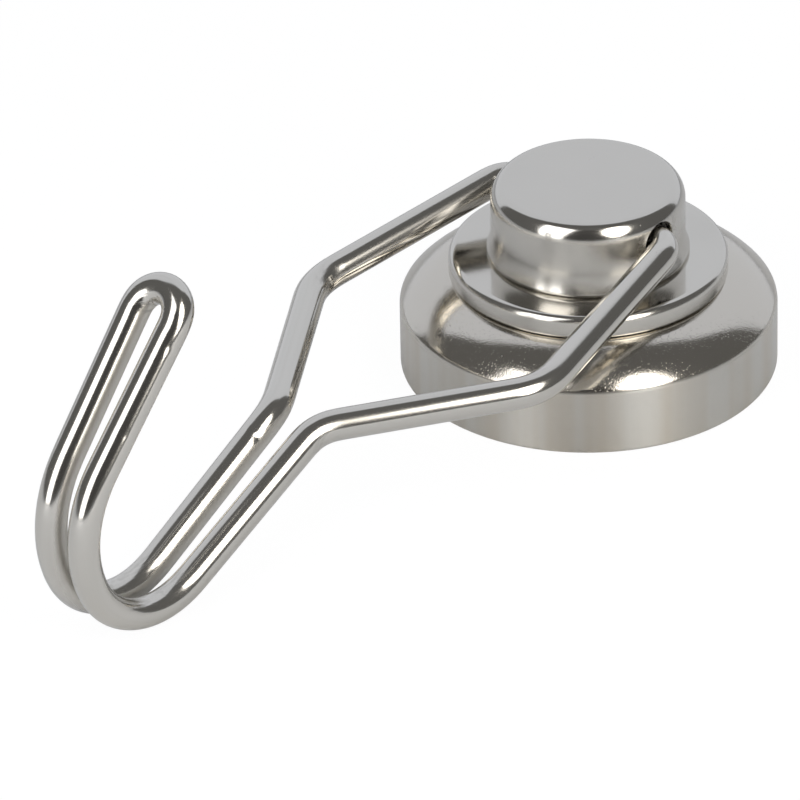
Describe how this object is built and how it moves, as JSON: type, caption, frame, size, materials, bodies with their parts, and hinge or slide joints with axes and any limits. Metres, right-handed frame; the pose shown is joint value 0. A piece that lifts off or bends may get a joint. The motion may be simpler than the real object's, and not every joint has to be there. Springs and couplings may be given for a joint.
{
  "type": "swivel hook magnet",
  "caption": "Round pot magnet with a domed steel crown, a swivelling drum cap and a wire bail hook that swings in the cap's cross holes.",
  "frame": {"origin": "centre of the magnet's face, on the surface that the magnet holds to", "axes": "+Z along the swivel axis, away from the magnet's face; the hook's pivot axis is X and the hook rests towards -Y"},
  "size_m": [0.036, 0.09, 0.0338],
  "materials": {
    "pot_nickel": "bright nickel plate, satin wall and polished crown",
    "magnet_nickel": "nickel plate, dull",
    "resin": "cast resin",
    "rivet_steel": "plain steel",
    "washer": "plain",
    "bright_nickel": "bright nickel plate, polished",
    "wire_nickel": "bright nickel plate, polished"
  },
  "bodies": {
    "base": {"steel_cup": "pot_nickel", "disc_magnet": "magnet_nickel", "resin_ring": "resin", "swivel_rivet": "rivet_steel", "lower_washer": "washer"},
    "swivel_head": {"collar": "bright_nickel", "cap": "bright_nickel", "upper_washer": "washer"},
    "hook": {"hook_wire": "wire_nickel"}
  },
  "joints": [
    {"name": "swivel", "type": "hinge", "parent": "base", "child": "swivel_head", "pos_m": [0, 0, 0.01], "axis": [0, 0, 1], "continuous": true},
    {"name": "hook_swing", "type": "hinge", "parent": "swivel_head", "child": "hook", "pos_m": [0, 0, 0.01625], "axis": [-1, 0, 0], "range_deg": [0, 178]}
  ]
}
